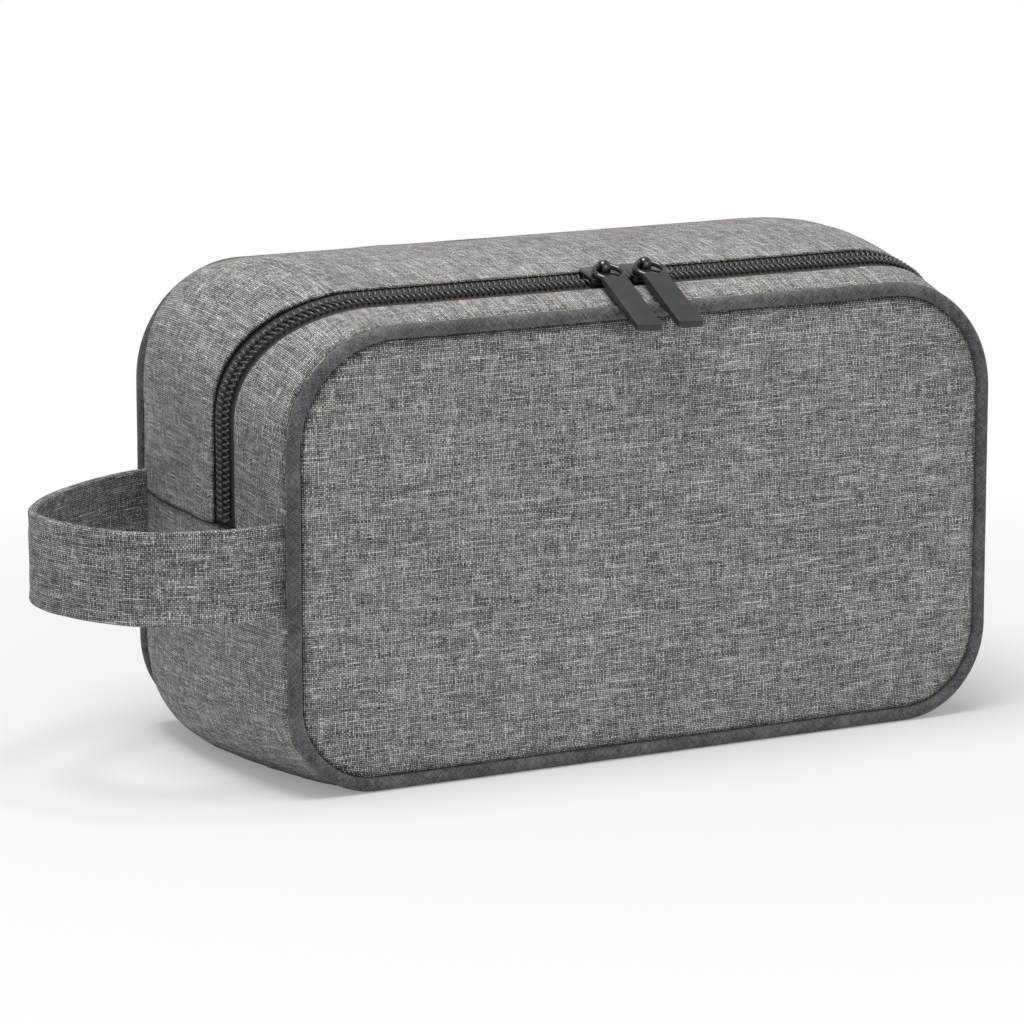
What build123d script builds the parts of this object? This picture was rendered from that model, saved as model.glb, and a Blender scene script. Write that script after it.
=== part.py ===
"""A soft toiletry bag: padded cloth walls, piped seams, a two-slider zip and a carry loop.

Lengths are millimetres.  The bag stands on z = 0, its front faces -Y and the loop is on -X.
"""
import os
from math import asin, atan, atan2, cos, hypot, pi, radians, sin
from build123d import *

os.makedirs("parts", exist_ok=True)

# The bag, measured between the middles of its piped seams
bag_length = 250.0
front_height = 141.5
back_height = 148.0
bag_depth = 111.0
top_radius = 35.0
bottom_radius = 28.0

# How far the padded gusset swells past the seam line
seam_lip = 0.8
end_crown = 6.2
top_crown = 9.2
crown_fullness = 0.7
gusset_bands = 8
corner_steps = 6

# Layers of the wall, outside in
cloth = 1.0
foam = 3.0
lining = 0.5
layer_gap = 0.05

# Piping and seam binding
piping_cord_diameter = 3.0
piping_cloth = 0.75
piping_sides = 8
seam_gap = 0.1
binding_depth = 6.6
binding_thickness = 2.5
binding_corner = 0.7

# Zip: tapes, coils and where they lie
zip_top_y = -34.0
zip_end_y = -18.0
tape_thickness = 0.8
tape_sink = 0.6
front_tape_width = 10.5
rear_tape_width = 9.5
zip_slit = 0.9
coil_row_width = 3.4
coil_height = 2.2
coil_pitch = 2.0
coil_tooth = 1.3
coil_slant = 12.0
front_hem = 6.2
rear_hem = 6.6
foam_setback = 1.2
lining_setback = 0.8
gusset_joint_height = 80.0

# Sliders
slider_length = 14.6
slider_nose_width = 10.8
slider_tail_width = 9.6
slider_plate = 0.9
slider_play = 0.25
slider_post_width = 0.6
slider_post_length = 2.5
slider_left_x = -5.0
slider_spacing = 14.9
bridge_width = 3.2
bridge_wall = 1.1
bridge_opening = 3.2
hinge_rise = 3.3
hinge_back = 1.2

# Pulls
pull_ring_outer = 11.0
pull_ring_wire = 1.3
pull_ring_height = 1.8
pull_tab_length = 33.0
pull_tab_width = 8.6
pull_tab_thickness = 2.4
pull_lean = 8.0
pull_bevel = 0.5
pull_rest_gap = 0.35

# Carry loop, a flat strap standing on edge
strap_width = 30.5
strap_thickness = 2.4
strap_cloth = 0.6
strap_middle_height = 72.3
loop_reach = 65.0
loop_corner_y = 39.0
loop_radius = 30.0
loop_seat = 0.9
loop_clearance = 0.3

piping_radius = piping_cord_diameter / 2 + piping_cloth
seam_y = bag_depth / 2
gusset_edge_y = seam_y - piping_radius - seam_gap
front_top = piping_radius + front_height
wall = cloth + foam + lining + 2 * layer_gap


def swell(y, lip_rise, crown):
    """How far the gusset stands outside the front seam line at depth y"""
    share = (y + gusset_edge_y) / (2 * gusset_edge_y)
    arch = max(sin(pi * share), 0.0) ** crown_fullness
    return seam_lip + lip_rise * share + crown * arch


def outline_at(y):
    """Half length, top and corner swell of the gusset's outside at depth y"""
    side = swell(y, 0.0, end_crown)
    top = front_top + swell(y, back_height - front_height, top_crown)
    return bag_length / 2 + side, top, side


def upright(y):
    """The plane across the bag's depth at y, with +Z up"""
    return Plane.XZ.offset(-y)


def outline_steps(half, bottom, top, upper_radius, lower_radius):
    """Points round the bag's outline from the lower right corner, each with its outward way"""
    steps = []
    for quarter, radius in enumerate((lower_radius, upper_radius, upper_radius, lower_radius)):
        side = 1 if quarter < 2 else -1
        level = bottom + radius if quarter in (0, 3) else top - radius
        middle = Vector(side * (half - radius), 0, level)
        for step in range(corner_steps + 1):
            angle = pi / 2 * (quarter - 1 + step / corner_steps)
            out = Vector(cos(angle), 0, sin(angle))
            steps.append((middle + out * radius, out))
    return steps


def bag_outline(y, half, bottom, top, upper_radius, lower_radius):
    """Sketch the bag's outline at depth y, its corners rounded in straight steps"""
    steps = outline_steps(half, bottom, top, upper_radius, lower_radius)
    with BuildSketch(upright(y)) as outline:
        Polygon(*[(point.X, point.Z) for point, out in steps], align=None)
    return outline.sketch


def bag_core(inset):
    """The closed space inside the gusset's outer face moved in by inset, flat at the bottom"""
    sections = []
    for band in range(gusset_bands + 1):
        y = -gusset_edge_y * cos(pi * band / gusset_bands)
        half, top, side = outline_at(y)
        sections.append(
            bag_outline(
                y,
                half - inset,
                piping_radius - side + inset,
                top - inset,
                top_radius + side - inset,
                bottom_radius + side - inset,
            )
        )
    with BuildPart() as core:
        loft(sections, ruled=True)
        split(bisect_by=Plane.XY.offset(inset), keep=Keep.TOP)
    return core.part


# The zip's path: up the left end, over the top and down the right end
end_half, end_top, end_side = outline_at(zip_end_y)
mid_half, mid_top, mid_side = outline_at(zip_top_y)
zip_foot = gusset_joint_height + layer_gap
zip_sink = cloth + tape_sink
climb = end_top - top_radius - end_side - zip_foot
corner_run = pi / 2 * (top_radius + (end_side + mid_side) / 2 - zip_sink)
zip_flat = mid_half - top_radius - mid_side
zip_length = 2 * (climb + corner_run + zip_flat)


def zip_plane(distance):
    """Where the zip runs: x across it towards the back, y out of the bag, z along it"""
    side = -1 if distance < zip_length / 2 else 1
    run = min(distance, zip_length - distance)
    turn = min(max((run - climb) / corner_run, 0.0), 1.0) * pi / 2
    over = max(run - climb - corner_run, 0.0)
    y = zip_top_y + (zip_end_y - zip_top_y) * cos(turn) ** 2
    half, top, swollen = outline_at(y)
    radius = top_radius + swollen
    x = side * (half - radius - over + (radius - zip_sink) * cos(turn))
    z = top - radius + (radius - zip_sink) * sin(turn) - max(climb - run, 0.0)
    step = 0.5
    end_slope = (outline_at(y + step)[0] - outline_at(y - step)[0]) / (2 * step)
    top_slope = (outline_at(y + step)[1] - outline_at(y - step)[1]) / (2 * step)
    lean = atan(end_slope + (top_slope - end_slope) * sin(turn) ** 2)
    out = Vector(side * cos(turn), 0, sin(turn))
    back = Vector(0, 1, 0)
    return Plane(
        origin=(x, y, z),
        x_dir=back * cos(lean) + out * sin(lean),
        z_dir=back.cross(out),
    )


def along_zip(across_low, across_high, low, high, overrun=0.0):
    """A band that follows the zip, between two widths across it and two depths"""
    rising = [climb + corner_run * step / corner_steps for step in range(corner_steps + 1)]
    falling = [zip_length - distance for distance in reversed(rising)]
    sections = []
    for distance in [-overrun] + rising + falling + [zip_length + overrun]:
        with BuildSketch(zip_plane(distance)) as section:
            with Locations(((across_low + across_high) / 2, (low + high) / 2)):
                Rectangle(across_high - across_low, high - low)
        sections.append(section.sketch)
    with BuildPart() as band:
        loft(sections, ruled=True)
    return band.part


def round_seam(section, y, height, mode=Mode.ADD):
    """Carry a section round a seam line: its x runs to the back, its y out of the bag"""
    low = piping_radius
    top = piping_radius + height
    steps = outline_steps(bag_length / 2, low, top, top_radius, bottom_radius)
    right, left = steps[: len(steps) // 2], steps[len(steps) // 2 :]
    under = (Vector(0, 0, low), Vector(0, 0, -1))
    over = (Vector(0, 0, top), Vector(0, 0, 1))
    back = Vector(0, 1, 0)
    for stretch in ([under] + right + [over], [over] + left + [under]):
        seats = [
            Plane(origin=(point.X, y, point.Z), x_dir=back, z_dir=back.cross(out))
            for point, out in stretch
        ]
        loft([seat * section for seat in seats], ruled=True, mode=mode)


def finish(part, name):
    """Name a finished piece and write it"""
    part.label = name
    export_step(part, f"parts/{name}.step")


# Padded gusset: each layer is the space between two cores
layer_insets = {
    "": (0.0, cloth),
    "_foam": (cloth + layer_gap, cloth + layer_gap + foam),
    "_lining": (cloth + foam + 2 * layer_gap, wall),
}
slot_edges = {
    "": (-front_hem, rear_hem),
    "_foam": (-front_tape_width - foam_setback, rear_tape_width + foam_setback),
    "_lining": (-front_hem - lining_setback, rear_hem + lining_setback),
}
slot_depth = 9.0
slot_reach = 12.0

for layer, (outer_inset, inner_inset) in layer_insets.items():
    outer_core = bag_core(outer_inset)
    inner_core = bag_core(inner_inset)
    slot = along_zip(*slot_edges[layer], -slot_depth, slot_reach, overrun=cloth)

    with BuildPart() as lower_gusset:
        add(outer_core)
        add(inner_core, mode=Mode.SUBTRACT)
        split(bisect_by=Plane.XY.offset(gusset_joint_height - layer_gap), keep=Keep.BOTTOM)
    finish(lower_gusset.part, "lower_gusset" + layer)

    with BuildPart() as zip_gusset:
        add(outer_core)
        add(inner_core, mode=Mode.SUBTRACT)
        split(bisect_by=Plane.XY.offset(gusset_joint_height), keep=Keep.TOP)
        add(slot, mode=Mode.SUBTRACT)
    strips = zip_gusset.solids().sort_by(Axis.Y)

    with BuildPart() as top_front_strip:
        add(strips[0])
    finish(top_front_strip.part, "top_front_strip" + layer)

    with BuildPart() as top_rear_strip:
        add(strips[-1])
    finish(top_rear_strip.part, "top_rear_strip" + layer)

# Sections that run round a seam
with BuildSketch() as cord_section:
    RegularPolygon(piping_cord_diameter / 2, piping_sides)

with BuildSketch() as cord_space:
    RegularPolygon(piping_cord_diameter / 2 + layer_gap / 2, piping_sides)

with BuildSketch() as cover_section:
    RegularPolygon(piping_radius, piping_sides)

with BuildSketch() as binding_section:
    with Locations((0, seam_lip - wall - seam_gap - binding_depth / 2 - binding_thickness / 2)):
        Rectangle(binding_thickness, binding_depth)
    chamfer(binding_section.vertices(), binding_corner)

# Front and back panels: cloth, foam and lining plates inside their piping
panel_edge = piping_radius + seam_gap
inner_edge = wall - seam_lip + seam_gap
panel_layers = {
    "": (panel_edge, cloth),
    "_foam": (inner_edge, foam),
    "_lining": (inner_edge, lining),
}
panel_stand = 1.1

for panel, side, height in (("front_panel", -1, front_height), ("back_panel", 1, back_height)):
    outside = seam_y + panel_stand
    for layer, (edge, thickness) in panel_layers.items():
        with BuildPart() as sheet:
            outline = bag_outline(
                side * outside,
                bag_length / 2 - edge,
                piping_radius + edge,
                piping_radius + height - edge,
                top_radius - edge,
                bottom_radius - edge,
            )
            extrude(outline, amount=side * thickness)
        finish(sheet.part, panel + layer)
        outside -= thickness + layer_gap
    inside = outside

    # Piping: a cord wrapped in bias cloth, sewn between the panel and the gusset
    place = panel.replace("_panel", "")
    with BuildPart() as piping_cord:
        round_seam(cord_section.sketch, side * seam_y, height)
    finish(piping_cord.part, place + "_piping_cord")

    with BuildPart() as piping_cover:
        round_seam(cover_section.sketch, side * seam_y, height)
        round_seam(cord_space.sketch, side * seam_y, height, mode=Mode.SUBTRACT)
    finish(piping_cover.part, place + "_piping_cover")

    # The raw seam edges inside are folded into a narrow binding tape
    binding_y = side * (outside - binding_thickness / 2 - seam_gap)
    with BuildPart() as seam_binding:
        round_seam(binding_section.sketch, binding_y, height)
    finish(seam_binding.part, place + "_seam_binding")

# Zip tapes and coils
for name, side, width in (("front", -1, front_tape_width), ("rear", 1, rear_tape_width)):
    inner = side * zip_slit / 2
    outer = side * width
    tape = along_zip(min(inner, outer), max(inner, outer), -tape_thickness, 0.0)
    finish(tape, "zipper_tape_" + name)

    tooth_count = int((zip_length - 2 * coil_pitch) / coil_pitch)
    teeth = []
    for index in range(tooth_count):
        distance = coil_pitch * (index + 1.25 + (0.25 if side > 0 else -0.25))
        seat = zip_plane(distance)
        middle = side * (zip_slit / 2 + coil_row_width / 2)
        tooth = Box(coil_row_width, coil_height, coil_tooth)
        tooth = Rot(0, side * coil_slant, 0) * tooth
        teeth.append(seat.location * Pos(middle, coil_height / 2 + layer_gap, 0) * tooth)
    coil = Compound(children=teeth)
    finish(coil, "zipper_coil_" + name)

# Sliders: two plates round the coils, a neck between the rows, and an arch that holds the pull
cavity_half = zip_slit / 2 + coil_row_width + slider_play
cavity_top = layer_gap + coil_height + slider_play
plate_top = cavity_top + slider_plate
floor_top = -tape_thickness - slider_play
plan_corner = 1.6
plate_edge = 0.35


def slider_body(x, nose):
    """A slider on the flat of the zip; nose is +1 where its wide end points along +X"""
    seat = zip_plane(zip_length / 2 + x)
    plan = Plane(origin=seat.origin, x_dir=seat.z_dir, z_dir=seat.y_dir)
    half = slider_length / 2
    nose_half = slider_nose_width / 2
    tail_half = slider_tail_width / 2
    with BuildSketch(seat.offset(-half)) as shell:
        with Locations((0, (slider_play + plate_top) / 2)):
            Rectangle(slider_nose_width, plate_top - slider_play)
        with Locations((0, (slider_play + cavity_top) / 2)):
            Rectangle(2 * cavity_half, cavity_top - slider_play, mode=Mode.SUBTRACT)
        with Locations((0, floor_top - slider_plate / 2)):
            Rectangle(slider_nose_width, slider_plate)
    with BuildSketch(seat.offset(nose * (half - slider_post_length) - slider_post_length / 2)) as neck:
        with Locations((0, (cavity_top + floor_top) / 2)):
            Rectangle(slider_post_width, cavity_top - floor_top)
    with BuildSketch(plan) as footprint:
        Polygon(
            (-nose * half, -tail_half),
            (nose * half, -nose_half),
            (nose * half, nose_half),
            (-nose * half, tail_half),
            align=None,
        )
        fillet(footprint.vertices(), plan_corner)
    with BuildSketch(seat.offset(-bridge_width / 2)) as arch:
        with Locations((hinge_back, plate_top + (bridge_opening + bridge_wall) / 2)):
            Rectangle(bridge_opening + 2 * bridge_wall, bridge_opening + bridge_wall)
        fillet(arch.vertices().group_by(Axis.Y)[-1], bridge_wall + plate_edge)
        with Locations((hinge_back, plate_top + bridge_opening / 2)):
            Rectangle(bridge_opening, bridge_opening, mode=Mode.SUBTRACT)
    with BuildPart() as body:
        extrude(shell.sketch, amount=slider_length)
        extrude(neck.sketch, amount=slider_post_length)
        extrude(footprint.sketch, amount=slider_length, both=True, mode=Mode.INTERSECT)
        extrude(arch.sketch, amount=bridge_width)
    return body.part


# Pulls: a ring through the arch and a bevelled tab that rests on the front piping
hinge_height = plate_top + hinge_rise / 2
ring_middle = (pull_ring_outer - pull_ring_wire) / 2
tab_start = 2 * ring_middle - pull_ring_wire / 4


def hinge_point(x):
    seat = zip_plane(zip_length / 2 + x)
    return seat.origin + seat.x_dir * hinge_back + seat.y_dir * hinge_height


pivot = hinge_point(0)
piping_away = hypot(-seam_y - pivot.Y, front_top - pivot.Z)
piping_below = atan2(pivot.Z - front_top, pivot.Y + seam_y)
tab_clear = piping_radius + pull_tab_thickness / 2 + pull_rest_gap
rest_angle = piping_below - asin(tab_clear / piping_away)


def slider_pull(x):
    """A pull lying forward over the strip, leaning a little towards the carry loop"""
    lean = radians(pull_lean)
    down = Vector(
        -sin(lean), -cos(lean) * cos(rest_angle), -cos(lean) * sin(rest_angle)
    )
    face = Vector(0, -sin(rest_angle), cos(rest_angle))
    flat = Plane(origin=hinge_point(x), x_dir=down.cross(face), z_dir=face)
    with BuildSketch(flat.offset(-pull_ring_height / 2)) as ring:
        with Locations((0, ring_middle)):
            Circle(pull_ring_outer / 2)
            Circle(pull_ring_outer / 2 - pull_ring_wire, mode=Mode.SUBTRACT)
    with BuildSketch(flat.offset(-pull_tab_thickness / 2)) as tab:
        with Locations((0, tab_start + pull_tab_length / 2)):
            RectangleRounded(pull_tab_width, pull_tab_length, 2 * pull_bevel)
    with BuildPart() as blade:
        extrude(tab.sketch, amount=pull_tab_thickness)
        chamfer(blade.faces().sort_by(Axis(flat.origin, flat.z_dir))[-1].edges(), pull_bevel)
    with BuildPart() as pull:
        extrude(ring.sketch, amount=pull_ring_height)
        add(blade)
    return pull.part


for side, x, nose in (("left", slider_left_x, 1), ("right", slider_left_x + slider_spacing, -1)):
    finish(slider_body(x, nose), "slider_" + side)
    finish(slider_pull(x), "pull_" + side)

# Carry loop: cloth folded round a webbing core, sewn into both end seams
seat_half = outline_at(1.5 * strap_thickness + loop_seat - gusset_edge_y)[0]
loop_start = (-seat_half - loop_clearance, gusset_edge_y - loop_seat - strap_thickness / 2)
with BuildLine(Plane.XY.offset(strap_middle_height)) as loop_line:
    FilletPolyline(
        (loop_start[0], -loop_start[1]),
        (-bag_length / 2 - loop_reach, -loop_corner_y),
        (-bag_length / 2 - loop_reach, loop_corner_y),
        loop_start,
        radius=loop_radius,
    )
loop_path = loop_line.wires()[0]
loop_end = Plane(origin=loop_path @ 0, x_dir=(0, 0, 1), z_dir=loop_path % 0)

with BuildSketch(loop_end) as strap_section:
    Rectangle(strap_width, strap_thickness)
with BuildSketch(loop_end) as core_space:
    Rectangle(strap_width - 2 * strap_cloth, strap_thickness - 2 * strap_cloth)
with BuildSketch(loop_end) as core_section:
    Rectangle(
        strap_width - 2 * strap_cloth - 2 * layer_gap,
        strap_thickness - 2 * strap_cloth - 2 * layer_gap,
    )

with BuildPart() as handle_strap:
    sweep(strap_section.sketch, path=loop_path)
    sweep(core_space.sketch, path=loop_path, mode=Mode.SUBTRACT)
finish(handle_strap.part, "handle_strap")

with BuildPart() as handle_core:
    sweep(core_section.sketch, path=loop_path)
finish(handle_core.part, "handle_core")
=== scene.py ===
"""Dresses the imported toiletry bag: heather cloth, piped seams, a two-slider zip and a carry loop.

Everything is in metres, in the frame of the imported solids: the bag stands on z = 0 and faces -Y.
"""

from math import asin, atan, atan2, cos, exp, hypot, pi, radians, sin

import bmesh
import bpy
from mathutils import Matrix, Vector, noise


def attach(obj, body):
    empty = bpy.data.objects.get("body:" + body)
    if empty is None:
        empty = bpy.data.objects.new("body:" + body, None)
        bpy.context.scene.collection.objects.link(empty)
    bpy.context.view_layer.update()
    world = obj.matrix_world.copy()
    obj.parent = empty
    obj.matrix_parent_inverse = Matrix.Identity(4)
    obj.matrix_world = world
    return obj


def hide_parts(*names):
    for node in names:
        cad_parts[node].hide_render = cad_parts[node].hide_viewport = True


bl_info = {
    "name": "Toiletry bag",
    "version": (1, 0, 0),
    "blender": (4, 5, 0),
    "location": "View3D > Sidebar > Bag",
    "description": "Cloth, zip and carry loop of a soft toiletry bag, fitted to its packed solids",
    "category": "Add Mesh",
}

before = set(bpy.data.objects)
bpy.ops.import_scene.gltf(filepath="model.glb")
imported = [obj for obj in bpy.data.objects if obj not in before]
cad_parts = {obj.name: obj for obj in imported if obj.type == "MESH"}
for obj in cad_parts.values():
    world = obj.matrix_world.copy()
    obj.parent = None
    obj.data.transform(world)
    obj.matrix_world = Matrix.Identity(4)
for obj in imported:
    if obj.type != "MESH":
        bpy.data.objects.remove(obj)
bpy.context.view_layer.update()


# Settings


def size(name, description, default):
    """A length that the user may change, in metres"""
    return bpy.props.FloatProperty(
        name=name, description=description, default=default, unit="LENGTH", precision=5
    )


def colour(name, description, default):
    """A colour that the user may change"""
    return bpy.props.FloatVectorProperty(
        name=name, description=description, default=default, size=3, subtype="COLOR", min=0, max=1
    )


class BagShape(bpy.types.PropertyGroup):
    """Sizes of the shell, the piping and the carry loop"""

    length: size("Length", "Between the middles of the end seams", 0.25)
    depth: size("Depth", "Between the middles of the front and back seams", 0.111)
    front_height: size("Front height", "Between the middles of the front seam's runs", 0.1415)
    back_height: size("Back height", "Between the middles of the back seam's runs", 0.148)
    top_radius: size("Top corner", "Radius of the upper corners at the seam", 0.035)
    bottom_radius: size("Bottom corner", "Radius of the lower corners at the seam", 0.028)
    piping: size("Piping radius", "Outside of the piping round its cord", 0.00225)
    seam_lip: size("Seam lip", "How far the gusset stands out at its seams", 0.0008)
    end_crown: size("End crown", "How far the ends swell halfway back", 0.0062)
    top_crown: size("Top crown", "How far the top swells halfway back", 0.0092)
    corner_bulge: size("Corner bulge", "How much further the rear corners swell", 0.0034)
    panel_stand: size("Panel stand", "How far the panels stand out beside their piping", 0.0011)
    panel_crown: size("Panel crown", "How much further the middle of a panel stands out", 0.0019)
    joint_height: size("Gusset joint", "Where the lower gusset meets the zip strips", 0.08)
    strap_width: size("Strap width", "Width of the carry loop", 0.0295)
    strap_thickness: size("Strap thickness", "Thickness of the carry loop", 0.0024)
    strap_height: size("Strap height", "Middle of the carry loop above the floor", 0.0723)


class ZipShape(bpy.types.PropertyGroup):
    """Sizes of the zip, its sliders and its pulls"""

    top_y: size("Zip on the top", "Depth at which the zip crosses the top", -0.034)
    end_y: size("Zip on the ends", "Depth at which the zip runs down the ends", -0.018)
    sink: size("Tape sink", "How far the tape lies under the cloth's outside", 0.0016)
    front_hem: size("Front hem", "From the middle of the zip to the front strip's hem", 0.0064)
    rear_hem: size("Rear hem", "From the middle of the zip to the rear strip's hem", 0.0068)
    hem_fold: size("Hem fold", "Thickness of the folded hems", 0.00145)
    tape_inner: size("Tape gap", "From the middle of the zip to each tape", 0.00042)
    front_tape: size("Front tape", "From the middle of the zip to the front tape's edge", 0.0105)
    rear_tape: size("Rear tape", "From the middle of the zip to the rear tape's edge", 0.0095)
    tape: size("Tape thickness", "Thickness of the tapes", 0.0008)
    pitch: size("Coil pitch", "From one coil turn to the next", 0.002)
    coil_inner: size("Coil inside", "From the middle of the zip to the coil's heads", 0.00036)
    coil_outer: size("Coil outside", "From the middle of the zip to the coil's far side", 0.00382)
    coil_height: size("Coil height", "Height of the coil over the tape", 0.0022)
    coil_wire: size("Coil wire", "Radius of the coil's filament", 0.00040)
    left_slider: size("Left slider", "Left slider from the middle of the zip", -0.005)
    slider_gap: size("Slider spacing", "From the left slider to the right one", 0.0149)
    plate_top: size("Plate top", "Top of a slider over the tape", 0.0034)
    hinge_back: size("Hinge set-back", "From the middle of a slider back to its hinge", 0.0012)
    hinge_height: size("Hinge height", "Height of the hinge over the tape", 0.00505)
    ring: size("Ring", "Outer diameter of a pull's ring", 0.011)
    ring_core: size("Ring core", "Thickness of the solid's ring, which places the tab", 0.0013)
    ring_wire: size("Ring wire", "Thickness of a pull's ring", 0.0019)
    tab_length: size("Tab length", "Length of a pull's tab", 0.033)
    tab_width: size("Tab width", "Width of a pull's tab", 0.0086)
    tab: size("Tab thickness", "Thickness of a pull's tab", 0.0024)
    tab_rest: size("Tab rest", "Gap between a resting tab and the front piping", 0.00035)
    tab_lean: bpy.props.FloatProperty(
        name="Tab lean",
        description="How far the pulls lean towards the carry loop",
        default=radians(8),
        subtype="ANGLE",
    )


class BagColours(bpy.types.PropertyGroup):
    """Colours of the cloths, the zip and the metal"""

    dark_yarn: colour("Dark yarn", "Darkest fibres of the heather cloth", (0.022, 0.021, 0.021))
    mid_yarn: colour("Middle yarn", "Most of the heather cloth", (0.235, 0.224, 0.216))
    light_yarn: colour("Light yarn", "Lightest slubs of the heather cloth", (0.860, 0.830, 0.800))
    piping: colour("Piping", "Bias cloth round the piping", (0.088, 0.084, 0.090))
    tape: colour("Tape", "Zip tape", (0.050, 0.049, 0.050))
    coil: colour("Coil", "Zip coil", (0.060, 0.060, 0.062))
    slider: colour("Slider", "Enamel of the sliders and rings", (0.012, 0.012, 0.014))
    pull: colour("Pull", "Enamel of the tabs", (0.026, 0.026, 0.029))
    lining: colour("Lining", "Lining cloth and seam binding", (0.035, 0.035, 0.038))
    padding: colour("Padding", "Foam inside the walls", (0.55, 0.55, 0.52))


class BagView(bpy.types.PropertyGroup):
    """Where the camera stands and how bright the studio is"""

    focal: bpy.props.FloatProperty(
        name="Lens", description="Focal length in millimetres", default=170.75, min=10
    )
    azimuth: bpy.props.FloatProperty(
        name="Azimuth", description="Way round the bag", default=radians(-28.31), subtype="ANGLE"
    )
    elevation: bpy.props.FloatProperty(
        name="Elevation", description="Height of the view", default=radians(11.405), subtype="ANGLE"
    )
    distance: size("Distance", "From the camera to what it looks at", 1.5773)
    target: bpy.props.FloatVectorProperty(
        name="Target",
        description="What the camera looks at",
        default=(-0.01962, 0.0, 0.07102),
        size=3,
        subtype="TRANSLATION",
    )
    ambient: bpy.props.FloatProperty(
        name="Ambient", description="Even light from all round", default=0.42, min=0
    )


# Finishes


class Level:
    """A number or vector in a material; arithmetic on it adds the nodes that work it out"""

    def __init__(self, finish, socket):
        self.finish = finish
        self.socket = socket

    def math(self, operation, *others):
        terms = dict(enumerate((self, *others)))
        return self.finish.node("ShaderNodeMath", {"operation": operation}, terms)

    def __add__(self, other):
        return self.math("ADD", other)

    def __mul__(self, other):
        return self.math("MULTIPLY", other)

    def __sub__(self, other):
        return self.math("SUBTRACT", other)

    def __rsub__(self, other):
        return self * -1 + other

    def __truediv__(self, other):
        return self.math("DIVIDE", other)

    __radd__ = __add__
    __rmul__ = __mul__

    def floor(self):
        return self.math("FLOOR")

    def arch(self):
        """Half a sine wave over each whole step"""
        return (self * pi).math("SINE").math("ABSOLUTE")

    def above(self, limit, ramp):
        """0 under the limit, rising to 1 over the ramp"""
        return ((self - limit) / ramp).math("MINIMUM", 1.0).math("MAXIMUM", 0.0)

    def toward(self, other, share):
        """This level where share is 0 and the other where it is 1"""
        return self * (1 - share) + other * share


class Finish:
    """One material and the nodes that colour and raise its surface"""

    def __init__(self, name, shader):
        self.material = bpy.data.materials.new(name)
        self.material.use_nodes = True
        self.tree = self.material.node_tree
        self.shader = self.tree.nodes["Principled BSDF"]
        for socket, value in shader.items():
            self.shader.inputs[socket].default_value = value

    def node(self, kind, settings, sockets, output=0):
        """Adds a node: its settings first, then the values or links of its sockets"""
        made = self.tree.nodes.new(kind)
        for setting, value in settings.items():
            if setting == "stops":
                ramp = made.color_ramp
                while len(ramp.elements) < len(value):
                    ramp.elements.new(0.5)
                for element, (position, tone) in zip(ramp.elements, value):
                    element.position = position
                    element.color = (*tone, 1)
            else:
                setattr(made, setting, value)
        for socket, value in sockets.items():
            if isinstance(value, Level):
                self.tree.links.new(value.socket, made.inputs[socket])
            else:
                made.inputs[socket].default_value = value
        return Level(self, made.outputs[output])

    def place(self, source):
        """The three parts of a UV map's or the object's own coordinates, in metres"""
        if source == "object":
            spot = self.node("ShaderNodeTexCoord", {}, {}, "Object")
        else:
            spot = self.node("ShaderNodeUVMap", {"uv_map": source}, {})
        return [
            self.node("ShaderNodeSeparateXYZ", {}, {"Vector": spot}, axis) for axis in ("X", "Y", "Z")
        ]

    def grain(self, x, y, z, detail=2.0, rough=0.5):
        """Noise at a spot whose parts are counted in grains"""
        spot = self.node("ShaderNodeCombineXYZ", {}, {"X": x, "Y": y, "Z": z})
        sockets = {"Vector": spot, "Scale": 1.0, "Detail": detail, "Roughness": rough}
        return self.node("ShaderNodeTexNoise", {"noise_dimensions": "3D"}, sockets)

    def tones(self, level, stops):
        return self.node("ShaderNodeValToRGB", {"stops": stops}, {"Fac": level})

    def colour(self, tone):
        self.tree.links.new(tone.socket, self.shader.inputs["Base Color"])

    def roughness(self, level):
        self.tree.links.new(level.socket, self.shader.inputs["Roughness"])

    def raise_by(self, height, distance, strength=1.0):
        """Raises the surface by a height of 0 to 1 over a distance in metres"""
        sockets = {"Height": height, "Distance": distance, "Strength": strength}
        bump = self.node("ShaderNodeBump", {}, sockets)
        self.tree.links.new(bump.socket, self.shader.inputs["Normal"])


def scaled(tone, factor):
    return tuple(min(channel * factor, 1.0) for channel in tone)


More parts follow.
